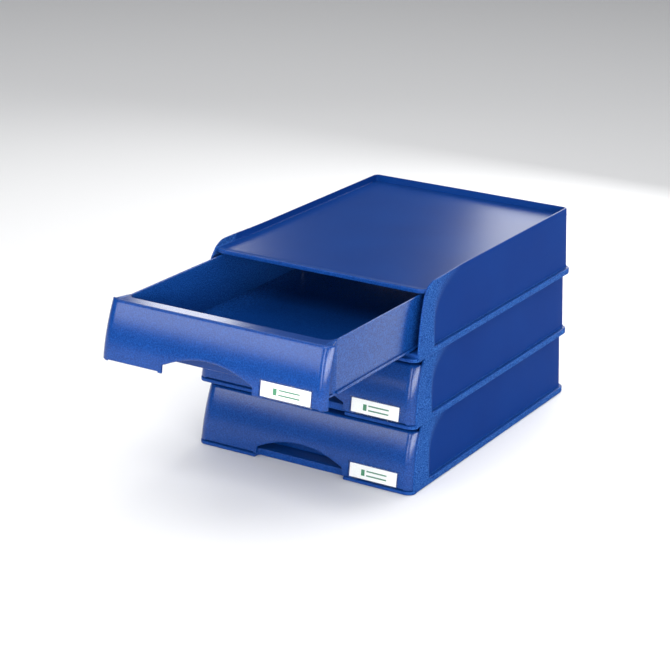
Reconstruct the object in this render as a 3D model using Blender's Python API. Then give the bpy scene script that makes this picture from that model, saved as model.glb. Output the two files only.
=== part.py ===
"""A4 letter trays stacked three high: each unit is a housing with a sliding drawer, a clear
label holder and a label card. Lengths are millimetres until they are written into a mesh.

Frame: +Z up and the drawers open towards -Y. The origin is on the underside of the bottom
housing, at the middle of its front edge: x = 0, 10 mm behind the front of the base lip.
Inside this file y runs back from the front of that lip; the last step shifts it.
"""
import math

import bpy
from mathutils import Matrix, Vector

for item in list(bpy.data.objects):
    bpy.data.objects.remove(item, do_unlink=True)

# Driving dimensions: the stack
UNITS = ("bottom", "middle", "top")
WIDTH = 255.0            # one unit, side to side, at its base bead
DEPTH = 360.0            # one unit, front lip to rear bead
PITCH = 70.0             # height that each further unit adds
TOP_DRAWER_OUT = 169.0   # the top drawer rests pulled out, the other two closed
ORIGIN_BACK = 10.0       # the origin lies this far behind the front of the base lip

# Housing
WALL = 2.2               # moulded wall
BEAD_TOP = 8.5           # the base bead stands proud of the wall up to here
BEAD_PROUD = 3.5
FRONT_LEAN = 3.4         # how far the flared front of a side wall leans in over one pitch
REAR_LEAN = 2.7          # the same for the flat wall behind the flare
BACK_LEAN = 2.0          # the same for the rear wall
RIM_TOP = 74.8           # upper edge of the walls, nested in the unit above
SKIRT_DEPTH = 5.1        # recess under the floor that takes the rim of the unit below
NEST_GAP, NEST_FRONT = 0.8, 12.0     # room round that rim, and where the recess starts
FLOOR_TOP = 7.6
BASE_SOFT = 1.2          # softened edges of the base bead
LIP_TOP = 3.6            # front lip that shows below the fascia
LIP_CORNER = 9.0
PLATE_UNDER, PLATE_TOP = 65.3, 67.5
PLATE_LIP_UNDER, PLATE_LIP_TOP, PLATE_LIP_DEPTH = 63.8, 68.3, 3.2
REAR_CORNER = 6.0
RIM_DROP, RIM_DROP_RUN = 6.4, 17.0   # the rim falls to the plate over this run at the front
FRONT_EDGE_SET = 6.0     # front edge of the side walls behind the fascia's face

# Drawer
FASCIA_BOTTOM, FASCIA_TOP = 4.0, 62.5
FASCIA_SETBACK = 14.0    # the fascia's face curves back this far by its top edge
FASCIA_CORNER = 13.0
FASCIA_DEPTH = 5.4       # the rounded ends of the fascia end this far behind its face
FASCIA_GAP = 1.0         # the fascia ends this far inside the side walls
FASCIA_SKIN = 2.4
LEDGE_BACK = 28.0        # rear of the hollow beam behind the fascia's face
RUN_GAP = 0.4            # clearance under the drawer where it runs
DRAWER_HALF, NECK_HALF = 116.0, 113.5
NECK_FRONT, NECK_BACK = 20.0, 33.5   # the drawer widens behind the neck
DRAWER_TOP = 62.3
DRAWER_BACK = 350.0
DRAWER_WALL = 2.0
INNER_CORNER = 9.0
TRAY_CORNER = 2.5        # front edges of the tray's sides, where they stand out from the neck
BEAM_WALL, BEAM_TOP_WALL = 2.4, 2.3
RAIL_LOW, RAIL_HIGH, RAIL_OUT = 9.2, 11.8, 2.5
TRAVEL = 270.0           # from shut to where the stops meet the lip under the top plate
STOP_CLEAR, STOP_LENGTH, STOP_TOP = 1.2, 8.0, 64.9
STOP_INNER, STOP_OUTER, STOP_ROOT = 1.9, 0.1, 3.0    # inside the tray's side, below its top

# Finger cut-out in the fascia, label and thumb recess of the base
CUT_CENTRE, CUT_HALF = -4.0, 51.0
CUT_END_TOP, CUT_MID_TOP, CUT_END_RADIUS = 13.5, 25.0, 3.5
NOTCH_HEIGHT, NOTCH_FROM, NOTCH_TO = 1.3, 59.0, 119.0
BASE_CUT_HALF, BASE_CUT_DEPTH, BASE_CUT_RADIUS = 53.0, 8.0, 4.0
LABEL_LEFT, LABEL_WIDTH, LABEL_HEIGHT = 54.5, 57.0, 17.5
LABEL_BOTTOM = 4.6
HOLDER_THICK, HOLDER_FACE, HOLDER_EDGE = 1.5, 0.6, 1.2
LABEL_RECESS = 0.9
CARD_THICK, CARD_PLAY = 0.3, 0.2
CLEAR = 0.3              # gap kept between separate pieces that touch

# Tools: how far they overlap what they join, and pass what they cut
OVERLAP, PAST, FAR_PAST = 1.0, 5.0, 20.0
STEP = 0.1               # keeps the walls of two cutters out of one plane


def side_half(z, flare):
    """Half width of the housing at height z: flare 1 at the front, 0 on the flat rear wall."""
    front = WIDTH / 2 - FRONT_LEAN * z / PITCH
    rear = WIDTH / 2 - BEAD_PROUD - REAR_LEAN * max(z - BEAD_TOP, 0.0) / PITCH
    return rear + (front - rear) * flare


def crease(z):
    """Where the flare starts, and over what run it grows: an arc that sweeps back upwards."""
    rise = max(z, 0.0) / RIM_TOP
    return 45.0 + 70.0 * rise ** 4.5, 8.0 + 60.0 * rise ** 4


def half_width(y, z):
    start, run = crease(z)
    t = min(max((start - y) / run, 0.0), 1.0)
    return side_half(z, t * t * (3.0 - 2.0 * t))


def fascia_face(z):
    """Setback of the fascia's face at height z: upright at the bottom, curving back upwards."""
    return FASCIA_SETBACK * (max(z, 0.0) / FASCIA_TOP) ** 1.8


def front_edge(z):
    return fascia_face(z) + FRONT_EDGE_SET


def fascia_half(z):
    return side_half(z, 1.0) - FASCIA_GAP


def arc(centre_x, centre_y, radius, start, end, steps):
    """Points on an arc in plan; angles in degrees from +X."""
    angles = (math.radians(start + (end - start) * k / steps) for k in range(steps + 1))
    return [(centre_x + radius * math.cos(a), centre_y + radius * math.sin(a)) for a in angles]


# Meshes

def make_object(name, points, faces):
    mesh = bpy.data.meshes.new(name)
    mesh.from_pydata([Vector(p) * 0.001 for p in points], [], faces)
    mesh.validate()
    piece = bpy.data.objects.new(name, mesh)
    bpy.context.collection.objects.link(piece)
    return piece


def loft(name, halves):
    """Closed solid through symmetric outlines. Each entry lists the points (x, y, z) of the
    right half from front to back; the left half is its mirror image."""
    count = len(halves[0])
    points = []
    for half in halves:
        points += half + [(-x, y, z) for x, y, z in reversed(half)]
    ring = 2 * count
    faces = []
    for level in range(len(halves) - 1):
        low, high = level * ring, (level + 1) * ring
        for k in range(ring):
            nxt = (k + 1) % ring
            faces.append((low + k, low + nxt, high + nxt, high + k))
    top = (len(halves) - 1) * ring
    for k in range(count - 1):
        left = ring - 1 - k
        faces.append((left, left - 1, k + 1, k))
        faces.append((top + k, top + k + 1, top + left - 1, top + left))
    return make_object(name, points, faces)


def prism(name, outline, low, high, axis="Z"):
    """Closed solid from a plan outline listed anticlockwise. For axis Y the outline is (x, z)."""
    if axis == "Z":
        points = [(x, y, low) for x, y in outline] + [(x, y, high) for x, y in outline]
    else:
        points = [(x, high, z) for x, z in outline] + [(x, low, z) for x, z in outline]
    count = len(outline)
    faces = [tuple(reversed(range(count))), tuple(range(count, 2 * count))]
    faces += [(k, (k + 1) % count, count + (k + 1) % count, count + k) for k in range(count)]
    return make_object(name, points, faces)


def rectangle(x0, x1, y0, y1):
    return [(x0, y0), (x1, y0), (x1, y1), (x0, y1)]


def rounded(x0, x1, y0, y1, front=0.0, back=0.0, steps=4):
    """Rectangle with its two front and two back corners rounded."""
    def corner(cx, cy, radius, start):
        return arc(cx, cy, radius, start, start + 90, steps) if radius else [(cx, cy)]
    return (corner(x0 + front, y0 + front, front, 180) + corner(x1 - front, y0 + front, front, 270)
            + corner(x1 - back, y1 - back, back, 0) + corner(x0 + back, y1 - back, back, 90))


def combine(piece, other, operation):
    """Apply one exact boolean and remove the tool."""
    step = piece.modifiers.new(operation.lower(), "BOOLEAN")
    step.operation = operation
    step.solver = "EXACT"
    step.object = other
    bpy.context.view_layer.update()
    graph = bpy.context.evaluated_depsgraph_get()
    result = bpy.data.meshes.new_from_object(piece.evaluated_get(graph))
    piece.modifiers.clear()
    piece.data = result
    bpy.data.objects.remove(other, do_unlink=True)


def cut(piece, *tools):
    for tool in tools:
        combine(piece, tool, "DIFFERENCE")


def join(piece, *others):
    for other in others:
        combine(piece, other, "UNION")


# Materials

def plastic(name, colour, roughness, transmission=0.0):
    material = bpy.data.materials.new(name)
    material.use_nodes = True
    shader = material.node_tree.nodes["Principled BSDF"]
    shader.inputs["Base Color"].default_value = (*colour, 1.0)
    shader.inputs["Roughness"].default_value = roughness
    shader.inputs["Metallic"].default_value = 0.0
    shader.inputs["Transmission Weight"].default_value = transmission
    return material


BLUE = (0.008, 0.065, 0.315)


# Housing: floor, side walls, back and top plate in one moulding

WALL_LEVELS = (BEAD_TOP, 20.0, 34.0, 46.0, 56.0, 65.0)
FRONT_STEPS = (0.0, 0.35, 0.6, 0.8)
REAR_STEPS = (0.2, 0.55, 1.0)


def wall_half(z, inset, front, back, corner, width=None):
    """Right half of a horizontal section, front to back, `inset` inside the outer surface."""
    start, run = crease(z)
    rear = back - REAR_CORNER
    near = front + corner
    stations = [near + (start - run - near) * s for s in FRONT_STEPS]
    stations += [start - run * k / 4 for k in (4, 3, 2, 1, 0)]
    stations += [start + (rear - start) * s for s in REAR_STEPS]
    side = [((width or half_width(y, z)) - inset, y) for y in stations]
    nose = arc(side[0][0] - corner, near, corner, -90, 0, 3)
    radius = max(REAR_CORNER - inset, 1.0)
    tail = arc(side[-1][0] - radius, rear, radius, 0, 90, 3)
    return [(x, y, z) for x, y in nose[:-1] + side + tail[1:]]


def back_at(z):
    return DEPTH - BEAD_PROUD - BACK_LEAN * max(z - BEAD_TOP, 0.0) / PITCH


def rim_height(y):
    """The rim runs level and falls to the top plate over the last stretch at the front."""
    near = 1.0 - (y - front_edge(RIM_TOP)) / RIM_DROP_RUN
    return RIM_TOP - RIM_DROP * min(max(near, 0.0), 1.0) ** 2


def housing_shell(name):
    full = WIDTH / 2
    soft = BASE_SOFT
    levels = [
        wall_half(0.0, soft, soft, DEPTH - soft, LIP_CORNER, full),
        wall_half(soft, 0.0, 0.0, DEPTH, LIP_CORNER, full),
        wall_half(BEAD_TOP - soft, 0.0, 0.0, DEPTH, LIP_CORNER, full),
        wall_half(BEAD_TOP - 0.05, soft / 2, 0.0, DEPTH - soft / 2, LIP_CORNER, full),
    ]
    for z in WALL_LEVELS:
        levels.append(wall_half(z, 0.0, 0.0, back_at(z), LIP_CORNER))
    rim = wall_half(RIM_TOP, 0.0, 0.0, back_at(RIM_TOP), LIP_CORNER)
    levels.append([(x, y, rim_height(y)) for x, y, z in rim])
    return loft(name, levels)


def bay(name, low, high, front, inset=WALL):
    """Cutter for the space between the walls, from `low` to `high`, open past `front`."""
    heights = [low] + [z for z in WALL_LEVELS if low < z < high] + [high]
    return loft(name, [wall_half(z, inset, front, back_at(z) - inset, 1.0) for z in heights])


def recess(name, low, high, front, inset=WALL):
    """Cutter above the top plate: upright, with the outline of the walls at the plate."""
    plan = wall_half(PLATE_TOP, inset, front, back_at(PLATE_TOP) - inset, 1.0)
    return loft(name, [[(x, y, z) for x, y, _ in plan] for z in (low, high)])


def front_clearance(name):
    """Cutter for all that stands in front of the walls and the top plate, above the lip."""
    ahead, above = -FAR_PAST, RIM_TOP + 2 * PAST
    heights = [LIP_TOP + (above - LIP_TOP) * k / 8 for k in range(9)]
    profile = [(ahead, LIP_TOP)] + [(front_edge(z), z) for z in heights] + [(ahead, above)]
    piece = prism(name, profile, -WIDTH, WIDTH, axis="Y")
    piece.data.transform(Matrix.Rotation(math.radians(90), 4, "Z"))
    return piece


def housing(unit):
    piece = housing_shell("housing_" + unit)
    cut(piece, front_clearance("front_clearance"))
    lip_back = front_edge(PLATE_TOP) + PLATE_LIP_DEPTH
    outside = -FAR_PAST
    cut(piece, bay("drawer_bay", FLOOR_TOP, PLATE_LIP_UNDER, outside))
    cut(piece, bay("plate_underside", PLATE_LIP_UNDER - OVERLAP, PLATE_UNDER, lip_back,
                   WALL + STEP))
    cut(piece, recess("lip_recess", PLATE_LIP_TOP, RIM_TOP + PAST + OVERLAP, outside))
    cut(piece, recess("top_recess", PLATE_TOP, RIM_TOP + PAST, lip_back, WALL + STEP))
    nest = wall_half(RIM_TOP, -NEST_GAP, NEST_FRONT, back_at(RIM_TOP) + NEST_GAP, 2.0)
    cut(piece, loft("nesting_recess", [[(x, y, z) for x, y, _ in nest]
                                       for z in (-PAST, SKIRT_DEPTH)]))
    thumb = rounded(CUT_CENTRE - BASE_CUT_HALF, CUT_CENTRE + BASE_CUT_HALF,
                    -FAR_PAST, BASE_CUT_DEPTH, back=BASE_CUT_RADIUS)
    cut(piece, prism("thumb_recess", thumb, -PAST, FLOOR_TOP + PAST))
    return piece


# Drawer: fascia, hollow beam behind it, tray, rails and stops in one moulding

FACE_HEIGHTS = [FASCIA_BOTTOM + (FASCIA_TOP - FASCIA_BOTTOM) * k / 6 for k in range(7)]


def fascia_plate(name):
    halves = []
    for z in FACE_HEIGHTS:
        turn = math.acos(1.0 - FASCIA_DEPTH / FASCIA_CORNER)
        centre = fascia_half(z) - FASCIA_CORNER * math.sin(turn)
        nose = arc(centre, fascia_face(z) + FASCIA_CORNER, FASCIA_CORNER,
                   -90, -90 + math.degrees(turn), 5)
        halves.append([(x, y, z) for x, y in nose])
    return loft(name, halves)


def beam(name, inset, low, high, skin):
    """Beam behind the face: it follows the face's curve in front and is upright behind."""
    halves = []
    for k in range(5):
        z = low + (high - low) * k / 4
        edge = NECK_HALF - inset
        back = LEDGE_BACK - (DRAWER_WALL if inset else 0.0)
        front = fascia_face(z) + skin
        halves.append([(edge, front, z), (edge, back, z)])
    return loft(name, halves)


def finger_arch(name):
    """Cutter for the finger cut-out: upright ends, rounded into one long flat arch."""
    outline = [(CUT_CENTRE - CUT_HALF, -PAST), (CUT_CENTRE + CUT_HALF, -PAST)]
    reach = CUT_HALF - CUT_END_RADIUS
    rise = CUT_MID_TOP - CUT_END_TOP
    shoulder = CUT_END_TOP - CUT_END_RADIUS
    outline += arc(CUT_CENTRE + reach, shoulder, CUT_END_RADIUS, 0, 70, 3)
    crown = [reach * (1.0 - k / 6) for k in range(1, 12)]
    outline += [(CUT_CENTRE + x, CUT_MID_TOP - rise * (x / reach) ** 2) for x in crown]
    outline += arc(CUT_CENTRE - reach, shoulder, CUT_END_RADIUS, 110, 180, 3)
    return prism(name, outline, -PAST, FASCIA_SETBACK, axis="Y")


def label_frame():
    """Position and tilt of the label: flat on the chord of the face behind it."""
    low, high = fascia_face(LABEL_BOTTOM), fascia_face(LABEL_BOTTOM + LABEL_HEIGHT)
    tilt = math.atan2(high - low, LABEL_HEIGHT)
    place = Matrix.Translation(Vector((LABEL_LEFT, low, LABEL_BOTTOM)) * 0.001)
    return place @ Matrix.Rotation(-tilt, 4, "X")


def tilted_block(name, x0, x1, y0, y1, z0, z1):
    piece = prism(name, rectangle(x0, x1, y0, y1), z0, z1)
    piece.data.transform(label_frame())
    return piece


def drawer(unit):
    piece = fascia_plate("drawer_" + unit)
    floor = FLOOR_TOP + RUN_GAP
    join(piece, beam("beam", 0.0, floor, FASCIA_TOP, OVERLAP))
    neck = prism("neck", rectangle(-NECK_HALF, NECK_HALF, NECK_FRONT, NECK_BACK + PAST), floor,
                 DRAWER_TOP)
    tray = rounded(-DRAWER_HALF, DRAWER_HALF, NECK_BACK, DRAWER_BACK, TRAY_CORNER, INNER_CORNER)
    join(piece, neck, prism("tray", tray, floor, DRAWER_TOP))
    for side in (-1, 1):
        inner, outer = DRAWER_HALF - OVERLAP, DRAWER_HALF + RAIL_OUT
        edges = sorted((side * inner, side * outer))
        run = rectangle(*edges, NECK_BACK + OVERLAP, DRAWER_BACK - INNER_CORNER)
        join(piece, prism("rail", run, RAIL_LOW, RAIL_HIGH))
    room = rounded(DRAWER_WALL - DRAWER_HALF, DRAWER_HALF - DRAWER_WALL, NECK_BACK + DRAWER_WALL,
                   DRAWER_BACK - DRAWER_WALL, TRAY_CORNER - DRAWER_WALL,
                   INNER_CORNER - DRAWER_WALL)
    front_room = rounded(DRAWER_WALL - NECK_HALF, NECK_HALF - DRAWER_WALL, LEDGE_BACK,
                         NECK_BACK + 2 * PAST, INNER_CORNER)
    cut(piece, prism("room", room, floor + DRAWER_WALL, DRAWER_TOP + PAST),
        prism("front_room", front_room, floor + DRAWER_WALL, DRAWER_TOP + PAST))
    cut(piece, beam("hollow", BEAM_WALL, -PAST, FASCIA_TOP - BEAM_TOP_WALL, FASCIA_SKIN))
    cut(piece, finger_arch("finger_arch"))
    for side in (-1, 1):
        edges = sorted((side * NOTCH_FROM, side * NOTCH_TO))
        cut(piece, prism("notch", rectangle(*edges, -PAST, FRONT_EDGE_SET + PAST),
                         0.0, FASCIA_BOTTOM + NOTCH_HEIGHT))
    cut(piece, tilted_block("label_recess", -CLEAR, LABEL_WIDTH + CLEAR, -PAST, LABEL_RECESS,
                            -CLEAR, LABEL_HEIGHT + CLEAR))
    stop_front = front_edge(PLATE_TOP) + PLATE_LIP_DEPTH + TRAVEL + STOP_CLEAR
    for side in (-1, 1):
        edges = sorted((side * (DRAWER_HALF - STOP_INNER), side * (DRAWER_HALF - STOP_OUTER)))
        join(piece, prism("stop", rectangle(*edges, stop_front, stop_front + STOP_LENGTH),
                          DRAWER_TOP - STOP_ROOT, STOP_TOP))
    return piece


def label_window(unit):
    """Clear holder: a thin face with a pocket behind it for the card, open at the back."""
    seat = LABEL_RECESS - CLEAR
    piece = tilted_block("label_window_" + unit, 0.0, LABEL_WIDTH, seat - HOLDER_THICK, seat,
                         0.0, LABEL_HEIGHT)
    cut(piece, tilted_block("pocket", HOLDER_EDGE, LABEL_WIDTH - HOLDER_EDGE,
                            seat - HOLDER_THICK + HOLDER_FACE, seat + OVERLAP,
                            HOLDER_EDGE, LABEL_HEIGHT - HOLDER_EDGE))
    return piece


def label_card(unit):
    face = LABEL_RECESS - CLEAR - HOLDER_THICK + HOLDER_FACE + CARD_PLAY
    edge = HOLDER_EDGE + CLEAR
    return tilted_block("label_card_" + unit, edge, LABEL_WIDTH - edge, face, face + CARD_THICK,
                        edge, LABEL_HEIGHT - edge)


def finish(piece, material, offset):
    """Give the piece its material and shading, and move it to its place in the stack."""
    piece.data.materials.clear()
    piece.data.materials.append(material)
    piece.data.shade_smooth()
    piece.data.set_sharp_from_angle(angle=math.radians(30))
    piece.location = Vector(offset) * 0.001


def build_stack():
    for level, unit in enumerate(UNITS):
        base = (0.0, -ORIGIN_BACK, PITCH * level)
        pulled = TOP_DRAWER_OUT if unit == "top" else 0.0
        moving = (0.0, base[1] - pulled, base[2])
        finish(housing(unit), plastic("blue_polystyrene_" + unit, BLUE, 0.35), base)
        finish(drawer(unit), plastic("blue_drawer_" + unit, BLUE, 0.38), moving)
        finish(label_window(unit), plastic("clear_window_" + unit, (0.9, 0.92, 0.93), 0.08, 1.0),
               moving)
        finish(label_card(unit), plastic("card_" + unit, (0.86, 0.87, 0.86), 0.6), moving)


build_stack()
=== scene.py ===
import bmesh
import bpy
import numpy as np
from mathutils import Matrix, Vector


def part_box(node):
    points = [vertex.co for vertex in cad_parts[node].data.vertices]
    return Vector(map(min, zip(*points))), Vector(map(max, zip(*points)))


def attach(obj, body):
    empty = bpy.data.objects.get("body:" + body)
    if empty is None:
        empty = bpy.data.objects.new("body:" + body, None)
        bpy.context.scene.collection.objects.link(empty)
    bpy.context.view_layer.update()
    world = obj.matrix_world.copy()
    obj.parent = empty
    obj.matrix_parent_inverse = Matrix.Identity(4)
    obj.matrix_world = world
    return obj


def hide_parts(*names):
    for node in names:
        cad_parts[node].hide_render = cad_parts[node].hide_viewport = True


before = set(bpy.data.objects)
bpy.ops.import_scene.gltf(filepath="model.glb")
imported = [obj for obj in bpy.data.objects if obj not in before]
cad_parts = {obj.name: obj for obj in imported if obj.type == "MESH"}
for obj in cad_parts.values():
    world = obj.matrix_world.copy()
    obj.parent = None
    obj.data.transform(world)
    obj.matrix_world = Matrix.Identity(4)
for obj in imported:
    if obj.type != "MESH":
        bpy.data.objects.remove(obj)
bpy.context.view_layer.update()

# Housings: three equal sleeves for A4 drawers, injection moulded in blue polystyrene.
# Each is one moulding: floor with a foot all round, two flared side walls, a back and a top
# plate. A unit stands with its foot over the rim of the one below; nothing else holds it.
UNITS = ("bottom", "middle", "top")
PITCH = 70.0                 # mm that each further unit adds
BACK = 10.0                  # mm from the front of the base lip to the frame's origin
WIDTH, DEPTH = 255.0, 360.0
WALL = 2.2
BEAD = 3.5                   # the foot stands this far proud of the flat wall above it
FRONT_LEAN, REAR_LEAN = 3.4, 2.7
RIM_TOP, RIM_FALL, RIM_FALL_RUN = 74.8, 6.4, 17.0
NEST_TOP, NEST_GAP = 5.1, 0.8
FLOOR = 7.6
LIP, STEP_Y = 3.6, 6.1
CORNER = 9.0                 # radius of the front corners in plan
PLATE_UNDER, PLATE = 65.3, 67.5
PLATE_LIP = 66.05            # middle height of the lip along the plate's front
LIP_DEPTH, LIP_SWEEP = 3.9, 4.5
FILLET = 0.6
FACE_BACK, FACE_TOP = 14.0, 62.5
FACE_GAP = 6.0               # from a fascia's face back to the housing's front edges
TRAVEL = 270.0               # of a drawer


def smooth(t):
    """Smooth step between 0 and 1: three t squared less two t cubed."""
    t = np.clip(t, 0.0, 1.0)
    return t * t * (3.0 - 2.0 * t)


def rounding(distance, radius):
    """Share of the full thickness at a distance from an edge that ends in a quarter circle."""
    t = 1.0 - np.clip(distance / radius, 0.0, 1.0)
    return np.sqrt(1.0 - t * t)


def face_back(z):
    """Setback of a fascia's face at height z: its top setback times (z over height) to 1.8."""
    return FACE_BACK * (np.clip(z, 0.0, None) / FACE_TOP) ** 1.8


def flare(y, z):
    """1 on the flared front of a side wall, 0 on the flat rear, and a smooth step across a
    crease that starts 45 mm back at the foot and sweeps to 115 mm at the rim."""
    rise = np.clip(z, 0.0, None) / RIM_TOP
    start, run = 45.0 + 70.0 * rise ** 4.5, 8.0 + 60.0 * rise ** 4
    return smooth((start - y) / run)


def front_half(z):
    return WIDTH / 2 - FRONT_LEAN * z / PITCH


def rear_half(z):
    return WIDTH / 2 - BEAD - REAR_LEAN * np.clip(z - 8.5, 0.0, None) / PITCH


def back_line(z):
    return DEPTH - BEAD - 2.0 * np.clip(z - 8.5, 0.0, None) / PITCH


def plan_corner(y):
    """How far a front corner, a quarter circle in plan, draws in at y behind its front."""
    return CORNER - np.sqrt(CORNER ** 2 - np.clip(CORNER - y, 0.0, CORNER) ** 2)


def closed_mesh(name, *sheets):
    """One closed mesh, in metres, from grids of points in mm whose borders meet."""
    points, faces, base = [], [], 0
    for sheet in sheets:
        rows, columns = sheet.shape[:2]
        index = base + np.arange(rows * columns).reshape(rows, columns)
        faces.append(np.stack([index[:-1, :-1], index[1:, :-1], index[1:, 1:], index[:-1, 1:]],
                              -1).reshape(-1, 4))
        points.append(sheet.reshape(-1, 3))
        base += rows * columns
    mesh = bpy.data.meshes.new(name)
    mesh.from_pydata((np.concatenate(points) * 0.001).tolist(), [],
                     np.concatenate(faces).tolist())
    work = bmesh.new()
    work.from_mesh(mesh)
    bmesh.ops.remove_doubles(work, verts=work.verts, dist=2e-6)
    bmesh.ops.dissolve_degenerate(work, edges=work.edges, dist=1e-6)
    bmesh.ops.recalc_face_normals(work, faces=work.faces)
    if work.calc_volume(signed=True) < 0.0:
        bmesh.ops.reverse_faces(work, faces=work.faces)
    work.to_mesh(mesh)
    work.free()
    return mesh


def weld(name, meshes, taken=()):
    """Union of closed meshes, less the taken ones, as one mesh with no inner faces."""
    body = bpy.data.objects.new(name, meshes[0])
    bpy.context.scene.collection.objects.link(body)
    for mesh in list(meshes[1:]) + list(taken):
        tool = bpy.data.objects.new("tool", mesh)
        bpy.context.scene.collection.objects.link(tool)
        step = body.modifiers.new("weld", "BOOLEAN")
        step.operation = "DIFFERENCE" if mesh in taken else "UNION"
        step.solver = "MANIFOLD"
        step.object = tool
        bpy.context.view_layer.update()
        made = bpy.data.meshes.new_from_object(
            body.evaluated_get(bpy.context.evaluated_depsgraph_get()))
        body.modifiers.clear()
        body.data = made
        bpy.data.objects.remove(tool)
    mesh = body.data
    bpy.data.objects.remove(body)
    return mesh


def mirrored(right):
    """A grid over the right half, front to back, carried on over the left, back to front."""
    return np.concatenate([right, right[::-1][1:] * np.array([-1.0, 1.0, 1.0])])


def housing_wall():
    """Side and back walls: an upright profile carried round the plan. The outer profile has
    the foot, a dark groove above it and the wall; the inner one the nesting recess."""
    # outer profile rows: height on the flat rear, height on the flare, offset on the rear
    rows = [(0, 0, 2.3), (0.35, 0.35, 3.15), (1.2, 1.2, 3.5), (3, 3, 3.5), (5.2, 5, 3.5),
            (6.1, 5.6, 3.5), (6.7, 6.1, 3.25), (6.95, 6.5, 2.6), (6.9, 6.9, 1.7),
            (6.75, 7.2, 0.6), (6.85, 7.5, -0.2), (7.3, 7.8, -0.4), (7.8, 8.1, -0.2),
            (8.1, 8.4, 0.45), (8.35, 8.7, 0.7), (8.8, 9, 0.72), (9.3, 9.4, 0.45),
            (9.8, 9.9, 0.08), (10.6, 10.6, 0)]
    rows += [(z, z, 0) for z in np.linspace(13, 72, 24)]
    rows += [(73.4, 73.4, 0), (74.1, 74.1, -0.12), (74.6, 74.6, -0.45), (74.8, 74.8, -0.95)]
    z_rear, z_front, out = np.array(rows, float).T
    drawn = np.zeros(len(rows))
    drawn[:2] = (1.2, 0.35)
    drawn[-3:] = (0.12, 0.45, 0.95)
    z_in = z_front.copy()
    z_in[4:6] = (5.05, 5.15)
    behind = np.concatenate([[0, 0.12, 0.35, 0.7, 1.1, 1.8, 3], np.arange(5, 131, 2.5),
                             np.arange(140, 330, 15)])

    def swept(z_low, z_up, rear, ahead, outer):
        """Stations down one side, round the rear corner and to the middle of the back."""
        front = face_back(z_up) + FACE_GAP
        radius = 6.0
        last = back_line(z_up) - radius
        y = front + (last - front) * behind[:, None] / behind[-1]
        share = flare(y, z_up[None, :])
        x = rear * (1 - share) + ahead * share
        if outer:
            x = x - plan_corner(y)
        z = z_low * (1 - share) + z_up * share
        side = np.stack([x, y, z], -1)
        reach = rear[-1:] if np.ndim(rear) == 2 else rear
        turn = np.radians(np.linspace(15, 90, 6))[:, None]
        nominal = rear_half(z_up)
        off = reach - nominal
        curve = np.stack([nominal - radius + (radius + off) * np.cos(turn),
                          last + (radius + off) * np.sin(turn),
                          np.broadcast_to(z_low, (6, len(z_low)))], -1)
        spread = np.array([0.66, 0.33, 0.0])[:, None]
        rear_x = (nominal - radius) * spread
        tail = np.stack([rear_x, np.broadcast_to(back_line(z_up) + off, rear_x.shape),
                         np.broadcast_to(z_low, rear_x.shape)], -1)
        return np.concatenate([side, curve, tail])

    outside = swept(z_rear, z_front, rear_half(z_front) + out, front_half(z_front) - drawn, True)
    inner_rear, inner_front = rear_half(z_in) - WALL, front_half(z_in) - WALL
    inside = swept(z_in, z_in, inner_rear, inner_front, False)
    top = z_in > PLATE
    inside[..., 0][:, top] = np.minimum(inside[:, top, 0] + 0.25, outside[:, top, 0] - 0.6)
    # the recess under the foot follows the flared rim of the unit below
    low = z_in <= NEST_TOP
    rim = np.full(low.sum(), RIM_TOP)
    nest = swept(z_in[low], rim, rear_half(rim) + NEST_GAP, front_half(rim) + NEST_GAP, False)
    nest[..., 2] = z_in[low]
    inside[:, low] = nest
    inside[:, 0, 0] += 0.4
    # rim falls to the plate at the front: heights over 60 mm are pressed down
    for sheet in (outside, inside):
        y, z = sheet[..., 1], sheet[..., 2]
        near = np.clip(1.0 - (y - face_back(RIM_TOP) - FACE_GAP) / RIM_FALL_RUN, 0.0, 1.0)
        fall = RIM_FALL * near ** 2
        sheet[..., 2] = z - fall * np.clip((z - 60.0) / (RIM_TOP - 60.0), 0.0, 1.0)
    middle = (outside + inside) / 2
    ends = np.ones(len(outside))
    ends[:len(behind)] = rounding(behind, 1.1)
    outside = middle + (outside - middle) * ends[:, None, None]
    inside = middle + (inside - middle) * ends[:, None, None]
    sheets = []
    for sheet in (outside, inside):
        sheet = np.concatenate([middle[:, :1], sheet, middle[:, -1:]], 1)
        sheets.append(mirrored(sheet))
    return closed_mesh("wall", *sheets)


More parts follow.
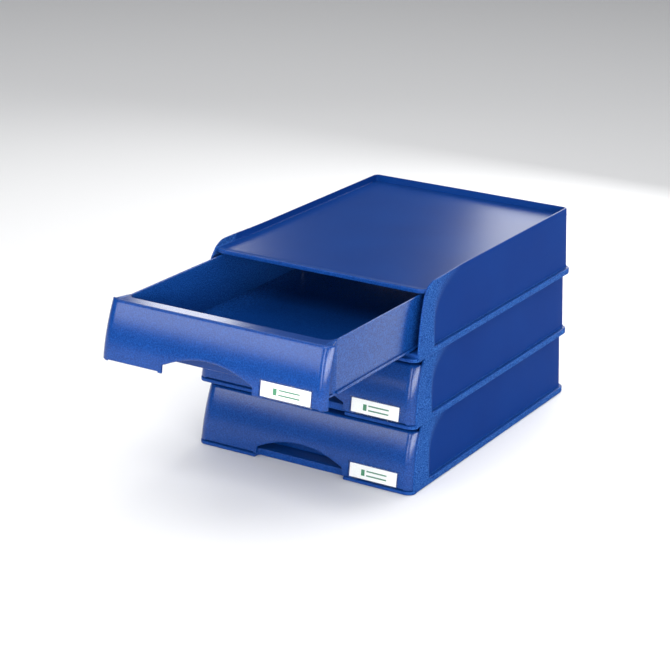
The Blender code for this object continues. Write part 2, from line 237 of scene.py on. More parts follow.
def housing_plate():
    """Top plate: a flat sheet with a rounded lip along its front, swept back at both ends,
    and a small fillet where it meets the walls. Height is a function of x and y."""
    near_edge = np.array([0, 0.4, 0.9, 1.0, 1.2, 1.5, 1.9, 2.4, 3, 4, 6, 9, 12, 16, 22, 32, 46,
                          62, 80, 100])
    span = 120.2
    across = np.concatenate([-1 + near_edge / span, [0], (1 - near_edge / span)[::-1]])
    lip_y = np.array([0, 0, 0.05, 0.4, 1.0, 2.3, 2.9, 3.3, LIP_DEPTH])
    lip_up = np.array([PLATE_LIP, 67.3, 67.75, 68.15, 68.3, 68.3, 68.15, 67.8, PLATE])
    lip_low = np.array([PLATE_LIP, 64.8, 64.35, 63.95, 63.8, 63.8, 63.95, 64.4, PLATE_UNDER])
    run = np.array([0.02, 0.06, 0.12, 0.2, 0.3, 0.45, 0.6, 0.75, 0.88, 0.95, 0.98, 0.986, 0.99,
                    0.994, 0.997, 1.0, 1.0])
    wall_in = back_line(PLATE) - WALL
    sweep = LIP_SWEEP * smooth((np.abs(across) * span - 106.0) / 15.0) ** 2
    start = (face_back(PLATE) + FACE_GAP + sweep)[:, None]
    y = np.concatenate([start + lip_y,
                        start + LIP_DEPTH + (wall_in + 1.0 - start - LIP_DEPTH) * run], 1)
    share = flare(y, PLATE)
    wall_x = rear_half(PLATE) * (1 - share) + front_half(PLATE) * share - WALL
    x = across[:, None] * (wall_x + 1.0)
    gap = np.minimum(wall_x - np.abs(x), wall_in - y)
    fillet = FILLET - np.sqrt(FILLET ** 2 - np.clip(FILLET - gap, 0.0, FILLET) ** 2)
    up = np.concatenate([lip_up, np.full(len(run), PLATE)]) + fillet
    low = np.tile(np.concatenate([lip_low, np.full(len(run), PLATE_UNDER)]), (len(across), 1))
    # along the border both sheets come to their middle height, in the walls or in the lip
    for sheet in (up, low):
        sheet[[0, -1]] = sheet[:, [-1]] = (PLATE_UNDER + PLATE) / 2
        sheet[:, 0] = PLATE_LIP
    return closed_mesh("plate", np.stack([x, y, up], -1), np.stack([x, y, low], -1))


def slab(x, y, low, high):
    """Flat plate over a grid of x and y, low and high in height, closed round its border."""
    x, y = np.broadcast_arrays(x, y)

    def face(height):
        """The grid at one height, with a border round it that drops to half the thickness."""
        z = np.full(x.shape, float(height))
        sheet = np.pad(np.stack([x, y, z], -1), ((1, 1), (1, 1), (0, 0)), mode="edge")
        sheet[[0, -1], :, 2] = sheet[:, [0, -1], 2] = (low + high) / 2
        return sheet

    return closed_mesh("slab", face(high), face(low))


CUT_X, CUT_HALF = -4.0, 51.0  # the drawers' finger cut-outs: middle and half width


def housing_base():
    """Front of the floor: a stepped profile carried across the width. Its front edge is a
    function of x, with rounded corners and the thumb recess under the drawer's cut-out."""
    step = np.array([0, 0.02, 0.1, 0.3, 0.6, 1, 1.5, 2.2, 3, 4, 5, 6.5, 8, 9.5])
    end = WIDTH / 2 - 0.06 - step
    recess = np.array([-6, -4.4, -3.2, -2.2, -1.3, -0.6, -0.15, 0, 0.1, 0.5, 1.2, 2, 4])
    half = CUT_HALF + 2.0
    x = np.unique(np.concatenate([end, -end, CUT_X + half + recess, CUT_X - half - recess,
                                  np.linspace(-40, 40, 9), [-70, -90, -105, 65, 80, 95, 108]]))
    inside = half - np.abs(x - CUT_X)
    # the recess is 8 mm deep, with a hollow round of 4 mm inside and one of 0.8 mm at its mouth
    hollow = 4.0 + np.sqrt(4.0 ** 2 - np.clip(4.0 - inside, 0, 4.0) ** 2)
    mouth = 0.8 - np.sqrt(np.clip(0.8 ** 2 - (0.6 + inside) ** 2, 0, None))
    notch = np.where(inside >= 0, hollow, np.where(inside > -0.6, mouth, 0.0))
    front = np.maximum(notch, plan_corner(WIDTH / 2 - np.abs(x)))[:, None]
    step_y = np.maximum(STEP_Y, front)
    lip = np.array([[1.2, 0], [0.35, 0.35], [0, 1.2], [0, 2.5], [0.3, 3.3], [1.0, LIP]])
    rise = np.array([[0, LIP + 0.01], [0, 6.7], [0.3, 7.35], [0.9, FLOOR]])
    rear = np.array([[14, FLOOR], [14, NEST_TOP], [12, NEST_TOP], [12, 0.5], [11.5, 0]])
    y = np.concatenate([np.minimum(front + lip[:, 0], step_y + lip[:, 0] * (lip[:, 1] < 2)),
                        step_y + rise[:, 0], np.broadcast_to(rear[:, 0], (len(x), 5))], 1)
    z = np.broadcast_to(np.concatenate([lip[:, 1], rise[:, 1], rear[:, 1]]), y.shape)
    limit = front_half(z) - plan_corner(y) - 0.05
    wide = np.clip(np.broadcast_to(x[:, None], y.shape), -limit, limit)
    loop = np.stack([wide, y, np.maximum(z, 0.04)], -1)
    caps = [np.broadcast_to(loop[k].mean(0), loop[k].shape)[None] for k in (0, -1)]
    loop = np.concatenate([caps[0], loop, caps[1]])
    return closed_mesh("base", np.concatenate([loop, loop[:, :1]], 1))


floor_y = np.linspace(12.5, back_line(FLOOR) - WALL + 1.0, 12)[None, :]
floor_share = flare(floor_y, FLOOR)
floor_x = (rear_half(FLOOR) * (1 - floor_share) + front_half(FLOOR) * floor_share - WALL + 1.0)
housing_floor = slab(np.linspace(-1, 1, 9)[:, None] * floor_x, floor_y, NEST_TOP, FLOOR)
housing_mesh = weld("housing", [housing_wall(), housing_plate(), housing_floor, housing_base()])


def linear(code):
    """Linear red, green and blue of an sRGB hex colour, with alpha 1."""
    c = np.array([int(code[k:k + 2], 16) for k in (1, 3, 5)]) / 255.0
    c = np.where(c <= 0.04045, c / 12.92, ((c + 0.055) / 1.055) ** 2.4)
    return (*c.tolist(), 1.0)


def node(tree, kind, settings=(), **links):
    """Adds a shader node; settings are (name, value) of attributes, links are inputs: another
    node's output socket, or a value. Spaces in an input's name are written as underscores."""
    made = tree.nodes.new(kind)
    for name, value in settings:
        setattr(made, name, value)
    for name, value in links.items():
        socket = made.inputs[int(name[1:])] if name[1:].isdigit() else made.inputs[
            name.replace("_", " ")]
        if isinstance(value, bpy.types.NodeSocket):
            tree.links.new(value, socket)
        else:
            socket.default_value = value
    return made


def new_material(name):
    material = bpy.data.materials.new(name)
    material.use_nodes = True
    tree = material.node_tree
    return material, tree, tree.nodes["Principled BSDF"]


def moulded_polystyrene(name, pale, dark, speck_sheen_colour, smooth_rough, grain_rough, gloss):
    """Injection-moulded polystyrene from a steel tool, satin where the tool was polished and
    sandy and duller where it was spark-eroded, which the attribute grain tells. Where grain is
    set it also mixes in specks of a paler colour: partly the grain's own speckle, partly a
    painted sheen for the haze that grained faces reflect. Its gloss is set below that of bare
    polystyrene, so that the lamps don't bleach the blue."""
    material, tree, shader = new_material(name)
    grain = node(tree, "ShaderNodeAttribute", [("attribute_name", "grain")]).outputs["Fac"]
    where = node(tree, "ShaderNodeTexCoord").outputs["Object"]
    # grains of 0.3 mm are drawn as 1.2 mm so that they show, and flow marks are 70 mm wide
    fine = node(tree, "ShaderNodeTexNoise", Vector=where, Scale=850.0, Detail=2.0).outputs["Fac"]
    flow = node(tree, "ShaderNodeTexNoise", Vector=where, Scale=14.0, Detail=2.0).outputs["Fac"]
    speck = node(tree, "ShaderNodeMapRange", Value=fine, From_Min=0.38, From_Max=0.68)
    # paler specks where grain is set: the grain's own speckle, and a painted sheen for the haze of
    # grained faces
    speck_sheen = node(tree, "ShaderNodeMath", [("operation", "MULTIPLY")],
                _0=speck.outputs["Result"], _1=grain)
    ground = node(tree, "ShaderNodeMix", [("data_type", "RGBA")], Factor=flow,
                  _6=linear(dark), _7=linear(pale))
    colour = node(tree, "ShaderNodeMix", [("data_type", "RGBA")], Factor=speck_sheen.outputs[0],
                  _6=ground.outputs[2], _7=linear(speck_sheen_colour))
    tree.links.new(colour.outputs[2], shader.inputs["Base Color"])
    dull = node(tree, "ShaderNodeMapRange", Value=grain, To_Min=smooth_rough, To_Max=grain_rough)
    tree.links.new(dull.outputs["Result"], shader.inputs["Roughness"])
    depth = node(tree, "ShaderNodeMath", [("operation", "MULTIPLY_ADD")], _0=grain, _1=0.35,
                 _2=0.03)
    bump = node(tree, "ShaderNodeBump", Height=fine, Strength=depth.outputs[0],
                Distance=0.0003)
    tree.links.new(bump.outputs["Normal"], shader.inputs["Normal"])
    shader.inputs["IOR"].default_value = 1.59
    shader.inputs["Specular IOR Level"].default_value = gloss
    return material


# polished faces are satin and a little glossy; sparked ones, the outer sides, hardly reflect.
# Both mix in paler specks where grain is set, partly a painted sheen; the sparked one's are paler
housing_blue = [moulded_polystyrene("moulded_blue_polystyrene_polished", "#0a3a80", "#092f70",
                                    "#1d4f9c", 0.28, 0.34, 0.1),
                moulded_polystyrene("moulded_blue_polystyrene_sparked", "#0b367d", "#092d71",
                                    "#376bb4", 0.45, 0.5, 0.01)]


def place(mesh, name, up, out=0.0):
    """A copy of a unit's mesh at its height, and pulled out by some mm, as a finished object."""
    mesh = mesh.copy()
    mesh.transform(Matrix.Translation(Vector((0.0, -BACK - out, up)) * 0.001))
    mesh.shade_smooth()
    mesh.set_sharp_from_angle(angle=np.radians(38))
    piece = bpy.data.objects.new(name, mesh)
    bpy.context.scene.collection.objects.link(piece)
    return piece


def set_grain(mesh, values):
    """Writes one number a vertex as the attribute the polystyrene reads for its grain and for the
    paler specks that paint part of its sheen.
    """
    attribute = mesh.attributes.new("grain", "FLOAT", "POINT")
    attribute.data.foreach_set("value", values.astype(np.float32))


def vertices(mesh):
    """Vertex positions of a mesh in mm, in the unit's own frame."""
    at = np.empty(len(mesh.vertices) * 3)
    mesh.vertices.foreach_get("co", at)
    return at.reshape(-1, 3) * 1000.0


def face_x(mesh, quantity):
    """Size of the x part of each face's center or normal."""
    values = np.empty(len(mesh.polygons) * 3)
    mesh.polygons.foreach_get(quantity, values)
    return np.abs(values[::3])


# the flare and the foot of the outer sides are coarse, and so is all that shows at the front;
# the paler specks that grain brings there are partly a painted sheen, which lightens the flare
# and the foot most
OUTER_SIDE, FOOT_TOP, FRONT_DEPTH = 121.6, 8.6, 30.0
at = vertices(housing_mesh)
# grain 1 on the foot and on the flare: grain, and the strongest painted sheen
side_grain_and_sheen = np.where(at[:, 2] < FOOT_TOP, 1.0, flare(at[:, 1], at[:, 2] + 1.0))
set_grain(housing_mesh, np.where(np.abs(at[:, 0]) > OUTER_SIDE, side_grain_and_sheen,
                                 np.where(at[:, 1] < FRONT_DEPTH, 0.7, 0.0)))
housing_mesh.materials.clear()
for material in housing_blue:
    housing_mesh.materials.append(material)
sparked = (face_x(housing_mesh, "center") > 0.1185) & (face_x(housing_mesh, "normal") > 0.6)
housing_mesh.polygons.foreach_set("material_index", sparked.astype(np.int32))
for level, unit in enumerate(UNITS):
    housing = place(housing_mesh, "housing_shell_" + unit, PITCH * level)
    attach(housing, "stack")
    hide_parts("housing_" + unit)

# Drawers: one moulding each, of the same polystyrene. A curved fascia stands in front of a
# hollow beam, whose top is a ledge, and behind it are the tray, its rails and two end stops.
# The rails run in the housing; nothing fastens the drawer but its stops.
FASCIA_LOW, NOTCH_LOW = 4.0, 5.3
NOTCH_IN, NOTCH_OUT = 59.0, 119.0    # the shallow notches lie between these x
TRAY_LOW, TRAY_FLOOR, TRAY_TOP = 8.0, 10.0, 62.3
TRAY_HALF, NECK_HALF, TRAY_BACK = 116.0, 113.5, 350.0
TRAY_FRONT_CORNER, TRAY_REAR_CORNER = 11.0, 8.0    # radii of the walls' middle line
STRIP_Y, LEDGE_BACK = 33.5, 28.0
RAIL_UP, RAIL_HALF, RAIL_OUT = 10.5, 1.3, 2.5
FASCIA_RADIUS, FASCIA_DEPTH, SKIN = 13.0, 5.4, 2.6
END_TURN = np.arccos(1.0 - FASCIA_DEPTH / FASCIA_RADIUS)
END_X = 115.8                # where the fascia's ends start to turn, near its foot
STOP_PASS, STOP_SLACK = 5.8, 1.2     # depth of the swept lip where a stop meets it, and the play


def fascia_low(x):
    """Height of the fascia's lower edge: tabs, shallow notches, and a flat arch whose height
    falls with the square of the distance from its middle and ends in quarter circles."""
    off = np.abs(x - CUT_X)
    low = np.where((np.abs(x) > NOTCH_IN) & (np.abs(x) < NOTCH_OUT), NOTCH_LOW, FASCIA_LOW)
    reach = CUT_HALF - 3.5
    crown = 25.0 - 11.5 * (off / reach) ** 2
    shoulder = 10.0 + np.sqrt(np.clip(3.5 ** 2 - np.clip(off - reach, 0, 3.5) ** 2, 0, None))
    return np.where(off <= reach, crown, np.where(off <= CUT_HALF, shoulder, low))


def fascia():
    """Curved plate with wrapped ends: depth is the face's setback plus a circle at the ends,
    over a grid of columns and heights, with all edges rounded off."""
    arch = np.array([0, 6, 12, 18, 24, 30, 35, 39, 42, 44.5, 46.5, 47.5, 48.4, 49.2, 49.9, 50.4,
                     50.75, 50.94, 51.0, 51.15, 51.5, 52.1, 53])
    flat = np.unique(np.concatenate([CUT_X + arch, CUT_X - arch,
                                     [-58.9, -59.1, 58.9, 59.1, -62, 62, -70, 70, -80, 80, -92, 92,
                                      -105, 105]]))
    turns = np.linspace(0, END_TURN, 12)
    tips = np.radians([12, 30, 50, 70, 90])
    lows = np.concatenate([fascia_low(flat), fascia_low(FASCIA_RADIUS * np.sin(turns) + END_X),
                           np.full(len(tips), FASCIA_LOW)])
    rise = np.array([0, 0.1, 0.35, 0.75, 1.3])
    top = 1.8 * (1 - np.sin(np.radians([0, 22, 45, 68, 90])))
    middle = np.linspace(0, 1, 26)[1:-1]
    right_z = np.concatenate([lows[:, None] + rise,
                              lows[:, None] + 1.3 + (FACE_TOP - 3.1 - lows[:, None]) * middle,
                              np.broadcast_to(FACE_TOP - top, (len(lows), 5))], 1)
    lip = np.zeros(right_z.shape[1])
    lip[-5:] = 1.8 * (1 - np.cos(np.radians([0, 22, 45, 68, 90])))
    thick = np.ones(right_z.shape[1])
    thick[:5] = rounding(rise, 1.3)
    count = len(flat)
    z_flat, z_end = right_z[:count], right_z[count:]
    centre = (front_half(z_end) - 1.0) - FASCIA_RADIUS * np.sin(END_TURN)
    angle = np.concatenate([turns, np.full(len(tips), END_TURN)])[:, None]
    tip = np.concatenate([np.zeros(len(turns)), np.sin(tips)])[:, None] * 0.35
    share = np.concatenate([np.ones(len(turns)), np.cos(tips)])[:, None]

    def surface(radius, extra, turn):
        """Plate surface at a radius from the end circles' centre: right end columns."""
        x = centre + radius * np.sin(turn)
        y = face_back(z_end) + FASCIA_RADIUS - radius * np.cos(turn) + tip
        return np.stack([x, y + extra * np.cos(turn) ** 4, z_end], -1)

    # the inner surface turns less, so that both end the same distance behind the face
    outer_end = surface(FASCIA_RADIUS, lip, angle)
    inner_end = surface(FASCIA_RADIUS - SKIN, 0.0, 0.79 * angle)
    middle_end = (outer_end + inner_end) / 2
    outer_end = middle_end + (outer_end - middle_end) * share[..., None]
    inner_end = middle_end + (inner_end - middle_end) * share[..., None]
    x_flat = np.broadcast_to(flat[:, None], z_flat.shape)
    outer_flat = np.stack([x_flat, face_back(z_flat) + lip, z_flat], -1)
    inner_flat = np.stack([x_flat, face_back(z_flat) + SKIN, z_flat], -1)
    flip = np.array([-1.0, 1.0, 1.0])
    outer = np.concatenate([outer_end[::-1] * flip, outer_flat, outer_end])
    inner = np.concatenate([inner_end[::-1] * flip, inner_flat, inner_end])
    between = (outer + inner) / 2
    outer = between + (outer - between) * thick[:, None]
    inner = between + (inner - between) * thick[:, None]
    seam = between[:, -1:]
    return closed_mesh("fascia", np.concatenate([outer, seam], 1),
                       np.concatenate([inner, seam], 1))


def upright_wall(line, normal, low, high, half=1.0, soft=0.9):
    """A wall of even thickness: its middle line in plan, carried upwards, rounded at its foot
    and its top. The line is closed, or its ends are brought to zero thickness."""
    steps = np.array([0, 0.08, 0.3, 0.6, soft])
    z = np.concatenate([low + steps, np.linspace(low + soft, high - soft, 9)[1:-1],
                        (high - steps)[::-1]])
    share = rounding(np.minimum(z - low, high - z), soft)
    ends = np.ones(len(line))
    if np.abs(line[0] - line[-1]).max() > 0.01:
        ends[[0, -1]] = 0.0
    reach = half * ends[:, None] * share
    sheets = []
    for sign in (1, -1):
        x = line[:, :1] + sign * normal[:, :1] * reach
        y = line[:, 1:] + sign * normal[:, 1:] * reach
        sheets.append(np.stack([x, y, np.broadcast_to(z, x.shape)], -1))
    return closed_mesh("upright", *sheets)


def round_corner(cx, cy, radius, first, last, steps=8):
    """Middle line and outward normals of a corner: points on a circle in plan."""
    angle = np.radians(np.linspace(first, last, steps))
    normal = np.stack([np.cos(angle), np.sin(angle)], -1)
    return np.array([cx, cy]) + radius * normal, normal


def tray_wall():
    """The tray's four walls: one line round a rectangle with rounded corners."""
    half, ahead, behind = TRAY_HALF - 1.0, LEDGE_BACK - 1.0, TRAY_BACK - 1.0
    front, front_normal = round_corner(half - TRAY_FRONT_CORNER, ahead + TRAY_FRONT_CORNER,
                                       TRAY_FRONT_CORNER, -90, 0)
    rear, rear_normal = round_corner(half - TRAY_REAR_CORNER, behind - TRAY_REAR_CORNER,
                                     TRAY_REAR_CORNER, 0, 90)
    line = np.concatenate([[[0, ahead]], front, [[half, 120], [half, 230]], rear, [[0, behind]]])
    normal = np.concatenate([[[0, -1]], front_normal, [[1, 0], [1, 0]], rear_normal, [[0, 1]]])
    flip = np.array([-1.0, 1.0])
    line = np.concatenate([line, line[::-1][1:] * flip])
    normal = np.concatenate([normal, normal[::-1][1:] * flip])
    return upright_wall(line, normal, TRAY_LOW, TRAY_TOP)


def ledge():
    """Top of the beam: from the fascia to the tray, with the tray's inner corners cut round."""
    x = np.array([0, 40, 80, 98, 102, 104, 106, 108, 109.5, 111, 112, 112.8, 113.35, 113.45, 115,
                  117, 118.5, 119.8, 120.8])
    # its front follows the fascia's inside, and its rear the tray's corner and then the strip
    inner = FASCIA_RADIUS - 1.7
    bend = inner - np.sqrt(inner ** 2 - np.clip(x - 112.9, 0, None) ** 2)
    room = TRAY_FRONT_CORNER - 1.0
    centre_x, centre_y = TRAY_HALF - 2.0 - room, LEDGE_BACK + room
    rear = np.where(x < 113.4, centre_y - np.sqrt(room ** 2 - np.clip(x - centre_x, 0, 9.9) ** 2),
                    np.interp(x, [115.9, 120.8], [36.0, FACE_BACK + FASCIA_DEPTH - 0.2]))
    rear = np.maximum(rear, FACE_BACK + 2.0 + bend)
    front = FACE_BACK + 1.75 + bend
    steps = np.array([0, 0.3, 0.6, 0.85, 0.95, 1.0])
    y = front[:, None] + (rear - front)[:, None] * steps
    x = np.concatenate([-x[::-1], x[1:]])
    y = np.concatenate([y[::-1], y[1:]])
    return slab(x[:, None], y, FACE_TOP - 2.3, FACE_TOP - 0.015)


def cheek(side):
    """Neck between fascia and tray: an upright sheet whose foot rises in a hollow curve."""
    y = np.concatenate([[2.0, 3.0, 4.5, 6.0, 6.4, 8.0, 10, 12], np.linspace(14, 26, 7),
                        [32, 36]])[:, None]
    share = np.clip((y - 4.0) / 20.0, 0, 1)
    low = 5.2 + 2.8 * np.clip((y - 3.0) / 3.2, 0, 1) + 1.4 * share ** 1.6
    up = np.array([0, 0.1, 0.4, 0.9])
    z = np.concatenate([low + up, low + 0.9 + (60.9 - low) * np.linspace(0, 1, 10)[1:]], 1)
    y = np.maximum(y, face_back(z) + 2.0)
    thick = np.concatenate([rounding(up, 0.9), np.ones(8), [0.0]])
    ends = np.ones(len(y))
    ends[[0, -1]] = 0.0
    reach = ends[:, None] * thick
    sheets = [np.stack([side * (NECK_HALF - 1.0 + sign * reach), y, z], -1) for sign in (1, -1)]
    return closed_mesh("cheek", *sheets)


def shoulder(side):
    """Rounded front edge of the tray's side, which stands out from the neck as a strip."""
    curve, normal = round_corner(NECK_HALF - 0.93, STRIP_Y + 3.4, 2.4, -90, 0, 7)
    line = np.concatenate([[[NECK_HALF - 1.8, STRIP_Y + 1.0]], curve, [[TRAY_HALF - 1.3, 46]]])
    normal = np.concatenate([[[0, -1]], normal, [[1, 0]]])
    flip = np.array([side, 1.0])
    return upright_wall(line * flip, normal * flip, TRAY_LOW + 0.05, TRAY_TOP - 0.05)


def rail(side):
    """Runner along a side of the tray: a bar with a rounded outer edge."""
    out = np.array([-1.5, 0.5, 1.6, 2.1, 2.4, RAIL_OUT])
    y = np.array([STRIP_Y + 1, STRIP_Y + 1.4, STRIP_Y + 2.4, 90, 160, 230, 300, 339, 340.5, 341])
    half = RAIL_HALF * rounding(RAIL_OUT - out, 0.9)[None, :] * rounding(
        np.minimum(y - y[0], y[-1] - y), 1.0)[:, None]
    half[:, 0] = 0.0
    x = np.broadcast_to(side * (TRAY_HALF + out), half.shape)
    yy = np.broadcast_to(y[:, None], half.shape)
    return closed_mesh("rail", *[np.stack([x, yy, RAIL_UP + sign * half], -1)
                                 for sign in (1, -1)])


LABEL_X, LABEL_LOW, LABEL_WIDE, LABEL_HIGH = 54.5, 4.6, 57.0, 17.5
LABEL_SINK, FIT = 0.9, 0.3
label_rise = face_back(LABEL_LOW + LABEL_HIGH) - face_back(LABEL_LOW)
label_tilt = np.arctan2(label_rise, LABEL_HIGH)


def on_label(points):
    """Carries points of the label's own frame to the drawer: turned back onto the face."""
    x, y, z = points[..., 0], points[..., 1], points[..., 2]
    return np.stack([x + LABEL_X, y * np.cos(label_tilt) + z * np.sin(label_tilt)
                     + face_back(LABEL_LOW),
                     z * np.cos(label_tilt) - y * np.sin(label_tilt) + LABEL_LOW], -1)


def block(x, y, z):
    """Plain closed block between two x, two y and two z, for a pocket that is cut away."""
    corners = np.stack(np.meshgrid(x, y, z, indexing="ij"), -1)
    ends = (0, 1)
    return ([corners[:, :, k] for k in ends] + [corners[k] for k in ends]
            + [corners[:, k] for k in ends])


label_pocket = closed_mesh("pocket", *[on_label(side) for side in block(
    (-FIT, LABEL_WIDE + FIT), (-5.0, LABEL_SINK), (-FIT, LABEL_HIGH + FIT))])
tray_floor = slab((TRAY_HALF - 1.0) * np.linspace(-1, 1, 7)[:, None],
                  np.linspace(LEDGE_BACK - 1.0, TRAY_BACK - 1.5, 8)[None, :], TRAY_LOW, TRAY_FLOOR)
stop_y = face_back(PLATE) + FACE_GAP + STOP_PASS + TRAVEL + STOP_SLACK
stops = [slab(np.array([-0.9, 0, 0.9])[:, None] + s * (TRAY_HALF - 1.0),
              (stop_y + np.array([0, 4.0, 8.0]))[None, :], TRAY_TOP - 3.0, 64.9) for s in (-1, 1)]
drawer_mesh = weld("drawer", [fascia(), ledge(), tray_wall(), tray_floor, *stops,
                              *[make(s) for make in (cheek, shoulder, rail) for s in (-1, 1)]],
                   [label_pocket])
# the fascia's face and its wrapped ends are finely grained, the tray's outer sides coarsely;
# the paler specks that grain brings are partly a painted sheen, and lighten the outer sides most
at = vertices(drawer_mesh)
aside, depth = np.abs(at[:, 0]), at[:, 1] - face_back(at[:, 2])
on_fascia = (depth < 1.9) | ((aside > 112) & (depth < 7))
set_grain(drawer_mesh, np.where(on_fascia, 0.45, np.where(aside > 113.8, 0.9, 0.2)))
drawer_mesh.materials.clear()
drawer_mesh.materials.append(moulded_polystyrene(
    "moulded_blue_polystyrene_drawer", "#063478", "#052c6a", "#2059ac", 0.15, 0.2, 0.24))
rest_out = {unit: (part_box("drawer_bottom")[0].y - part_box("drawer_" + unit)[0].y) * 1000
            for unit in UNITS}
for level, unit in enumerate(UNITS):
    drawer = place(drawer_mesh, "drawer_moulding_" + unit, PITCH * level, rest_out[unit])
    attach(drawer, unit + "_drawer")
    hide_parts("drawer_" + unit)

# Label holders: a clear window pressed into a shallow recess of the fascia, with a raised
# frame. They are injection moulded in clear polystyrene, which is bright at its edges.
HOLDER, HOLDER_FACE, HOLDER_EDGE = 1.5, 0.6, 1.2    # thickness, of the window alone, frame width
FRAME_STEP = 0.25            # the frame stands this far over the window inside it


def holder_window():
    """Front is flat with rounded edges; the back has a pocket where the border's distance is
    over the frame's width. Both are heights over a grid of x and z."""
    steps = np.array([0, 0.06, 0.2, 0.4, 0.7, 1.0, HOLDER_EDGE, HOLDER_EDGE + 0.1, 3])
    x = np.concatenate([steps, [LABEL_WIDE / 2], (LABEL_WIDE - steps)[::-1]])
    z = np.concatenate([steps, [LABEL_HIGH / 2], (LABEL_HIGH - steps)[::-1]])
    edge_x, edge_z = np.minimum(x, LABEL_WIDE - x)[:, None], np.minimum(z, LABEL_HIGH - z)[None]
    edge = np.minimum(edge_x, edge_z)
    seat = LABEL_SINK - FIT
    middle = seat - HOLDER / 2
    front = middle - (HOLDER / 2 - FRAME_STEP * smooth((edge - 0.8) / 0.4)) * rounding(edge, 0.45)
    rear = np.where(edge > HOLDER_EDGE + 0.01, seat - HOLDER + HOLDER_FACE,
                    middle + HOLDER / 2 * rounding(edge, 0.2))
    gx, gz = np.meshgrid(x, z, indexing="ij")
    return closed_mesh("window", *[on_label(np.stack([gx, y, gz], -1)) for y in (front, rear)])


def clear_polystyrene():
    """Clear moulded polystyrene: glass-like, glossy, faintly grey, with a soft mould haze."""
    material, tree, shader = new_material("clear_moulded_polystyrene")
    place_at = node(tree, "ShaderNodeTexCoord").outputs["Object"]
    haze = node(tree, "ShaderNodeTexNoise", Vector=place_at, Scale=90.0).outputs["Fac"]
    soft = node(tree, "ShaderNodeMapRange", Value=haze, To_Min=0.05, To_Max=0.14)
    tree.links.new(soft.outputs["Result"], shader.inputs["Roughness"])
    shader.inputs["Base Color"].default_value = linear("#f3f6f6")
    shader.inputs["Transmission Weight"].default_value = 1.0
    shader.inputs["Alpha"].default_value = 0.22   # so that light reaches the card through it
    shader.inputs["IOR"].default_value = 1.59
    return material


window_mesh = holder_window()
window_mesh.materials.append(clear_polystyrene())
for level, unit in enumerate(UNITS):
    window = place(window_mesh, "label_holder_" + unit, PITCH * level, rest_out[unit])
    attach(window, unit + "_drawer")
    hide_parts("label_window_" + unit)

# Label cards: white coated card, 0.3 mm, slipped behind the window, with a green index bar
# and two ruled green lines printed on it. Nothing is lettered on it.
CARD = 0.3


def index_card():
    """A flat sheet with rounded edges, bowed forwards by a sine across its width."""
    edge = HOLDER_EDGE + FIT
    wide, high = LABEL_WIDE - 2 * edge, LABEL_HIGH - 2 * edge
    steps = np.array([0, 0.05, 0.15])
    x = np.concatenate([steps, np.linspace(1, wide - 1, 24), (wide - steps)[::-1]])
    z = np.concatenate([steps, np.linspace(1, high - 1, 6), (high - steps)[::-1]])
    border = np.minimum(np.minimum(x, wide - x)[:, None], np.minimum(z, high - z)[None])
    half = CARD / 2 * rounding(border, 0.15)
    middle = LABEL_SINK - FIT - HOLDER + HOLDER_FACE + 0.2 + CARD / 2 - 0.05 * np.sin(
        np.pi * x / wide)[:, None]
    gx, gz = np.meshgrid(x + edge, z + edge, indexing="ij")
    return closed_mesh("card", *[on_label(np.stack([gx, middle + s * half, gz], -1))
                                 for s in (-1, 1)])


def printed_card():
    """Matt coated white card, faintly fibrous, with a bar and two lines printed in green."""
    material, tree, shader = new_material("printed_white_card")
    where = node(tree, "ShaderNodeAttribute", [("attribute_name", "card")]).outputs["Vector"]
    split = node(tree, "ShaderNodeSeparateXYZ", Vector=where)

    def band(axis, low, high):
        """1 where this coordinate of the card, in mm, lies between low and high."""
        over = node(tree, "ShaderNodeMath", [("operation", "GREATER_THAN")],
                    _0=split.outputs[axis], _1=low)
        under = node(tree, "ShaderNodeMath", [("operation", "LESS_THAN")],
                     _0=split.outputs[axis], _1=high)
        return node(tree, "ShaderNodeMath", [("operation", "MULTIPLY")], _0=over.outputs[0],
                    _1=under.outputs[0]).outputs[0]

    def patch(x0, x1, z0, z1):
        """1 in a rectangle of the card and 0 round it."""
        return node(tree, "ShaderNodeMath", [("operation", "MULTIPLY")], _0=band(0, x0, x1),
                    _1=band(1, z0, z1)).outputs[0]

    fibre = node(tree, "ShaderNodeTexNoise", Vector=where, Scale=0.8, Detail=3.0).outputs["Fac"]
    base = node(tree, "ShaderNodeMix", [("data_type", "RGBA")], Factor=fibre,
                _6=linear("#e9ebe9"), _7=linear("#f5f6f4"))
    for ink, area in (("#2c8259", (15, 19, 5.0, 11.4)), ("#2f7a58", (21, 44, 5.2, 6.6)),
                      ("#2f7a58", (21, 44, 9.8, 11.2))):
        base = node(tree, "ShaderNodeMix", [("data_type", "RGBA")], Factor=patch(*area),
                    _6=base.outputs[2], _7=linear(ink))
    tree.links.new(base.outputs[2], shader.inputs["Base Color"])
    rough = node(tree, "ShaderNodeMapRange", Value=fibre, To_Min=0.5, To_Max=0.65)
    tree.links.new(rough.outputs["Result"], shader.inputs["Roughness"])
    return material


card_mesh = index_card()
at = vertices(card_mesh)
local = np.stack([at[:, 0] - LABEL_X, (at[:, 2] - LABEL_LOW) / np.cos(label_tilt),
                  np.zeros(len(at))], -1)
card_mesh.attributes.new("card", "FLOAT_VECTOR", "POINT").data.foreach_set(
    "vector", local.astype(np.float32).ravel())
card_mesh.materials.append(printed_card())
for level, unit in enumerate(UNITS):
    card = place(card_mesh, "label_card_sheet_" + unit, PITCH * level, rest_out[unit])
    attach(card, unit + "_drawer")
    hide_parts("label_card_" + unit)

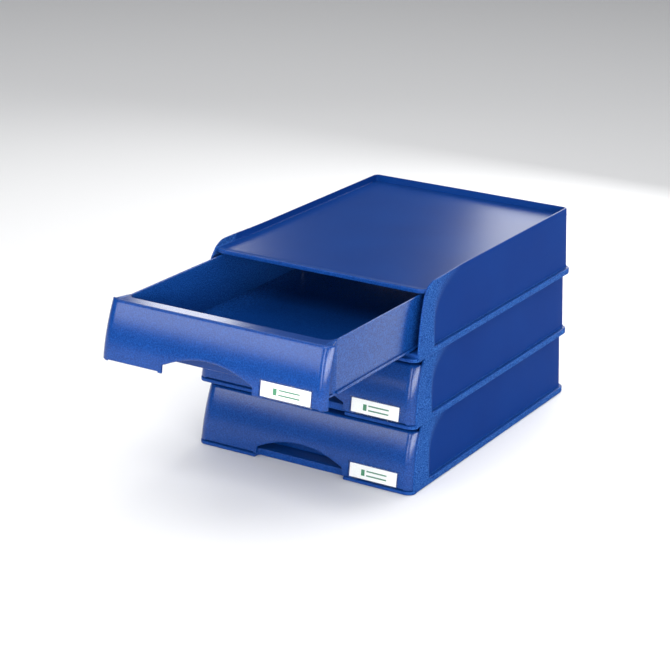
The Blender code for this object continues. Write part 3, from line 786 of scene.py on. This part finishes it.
# Floor, light and camera: a plain pale floor, soft studio light and a long lens.
# These are the studio's and not part of the object.
ground = bpy.data.meshes.new("studio_floor")
ground.from_pydata([(x, y, -0.0005) for x, y in ((-6, -6), (6, -6), (6, 6), (-6, 6))], [],
                   [(0, 1, 2, 3)])
ground_object = bpy.data.objects.new("studio_floor", ground)
bpy.context.scene.collection.objects.link(ground_object)
paper, tree, shader = new_material("studio_paper")
shader.inputs["Base Color"].default_value = linear("#f0f0f0")
shader.inputs["Roughness"].default_value = 0.9
ground.materials.append(paper)

world = bpy.data.worlds.new("studio")
bpy.context.scene.world = world
world.use_nodes = True
sky = world.node_tree.nodes["Background"]
sky.inputs["Color"].default_value = (0.86, 0.9, 1.0, 1.0)
sky.inputs["Strength"].default_value = 0.12
bpy.context.scene.view_settings.view_transform = "Standard"


def softbox(name, at, target, size, power):
    """A white rectangular area light that faces a point, and that the camera doesn't see."""
    light = bpy.data.lights.new(name, "AREA")
    light.shape = "RECTANGLE"
    light.size, light.size_y = size
    light.energy = power
    lamp = bpy.data.objects.new(name, light)
    bpy.context.scene.collection.objects.link(lamp)
    lamp.location = at
    lamp.rotation_mode = "QUATERNION"
    lamp.rotation_quaternion = (Vector(target) - Vector(at)).to_track_quat("-Z", "Y")
    lamp.visible_camera = False


softbox("overhead", (0.2, 0.2, 2.9), (0.2, 0.2, 0.0), (5.0, 5.0), 80)
softbox("key", (0.1, -1.9, 2.2), (0.05, 0.0, 0.1), (1.2, 1.0), 34)
softbox("front_left", (-0.95, -1.8, 0.78), (0, -0.1, 0.12), (1.2, 0.6), 13)
softbox("corner_strip", (0.3, -1.8, 0.6), (0.1, 0, 0.1), (0.2, 0.7), 6)
softbox("front_right", (1.75, -1.6, 0.64), (0.1, 0, 0.1), (1.9, 0.45), 42)
softbox("rear", (0.38, 1.1, 0.62), (0.38, 0.0, 0.35), (1.5, 0.8), 14)
softbox("rear_left", (-0.9, 1.1, 0.74), (0.0, -0.1, 0.2), (0.16, 0.4), 1.0)

# The long lens looks down from the front right, and is turned a little about its own axis.
camera_data = bpy.data.cameras.new("camera")
camera = bpy.data.objects.new("camera", camera_data)
bpy.context.scene.collection.objects.link(camera)
azimuth, elevation, roll = np.radians((30.154, 19.137, 1.437))
back = np.array([np.sin(azimuth) * np.cos(elevation), -np.cos(azimuth) * np.cos(elevation),
                 np.sin(elevation)])
right = np.array([np.cos(azimuth), np.sin(azimuth), 0.0])
up = np.cross(back, right)
turned = np.array([[np.cos(roll), np.sin(roll), 0], [-np.sin(roll), np.cos(roll), 0], [0, 0, 1]])
axes = turned @ np.array([right, up, back])
matrix = Matrix(axes.T.tolist()).to_4x4()
matrix.translation = Vector((1.024498, -1.705253, 0.840429))
camera.matrix_world = matrix
camera_data.sensor_width = 36.0
camera_data.lens = 113.12
camera_data.shift_x, camera_data.shift_y = -0.0052, -0.0103
bpy.context.scene.camera = camera
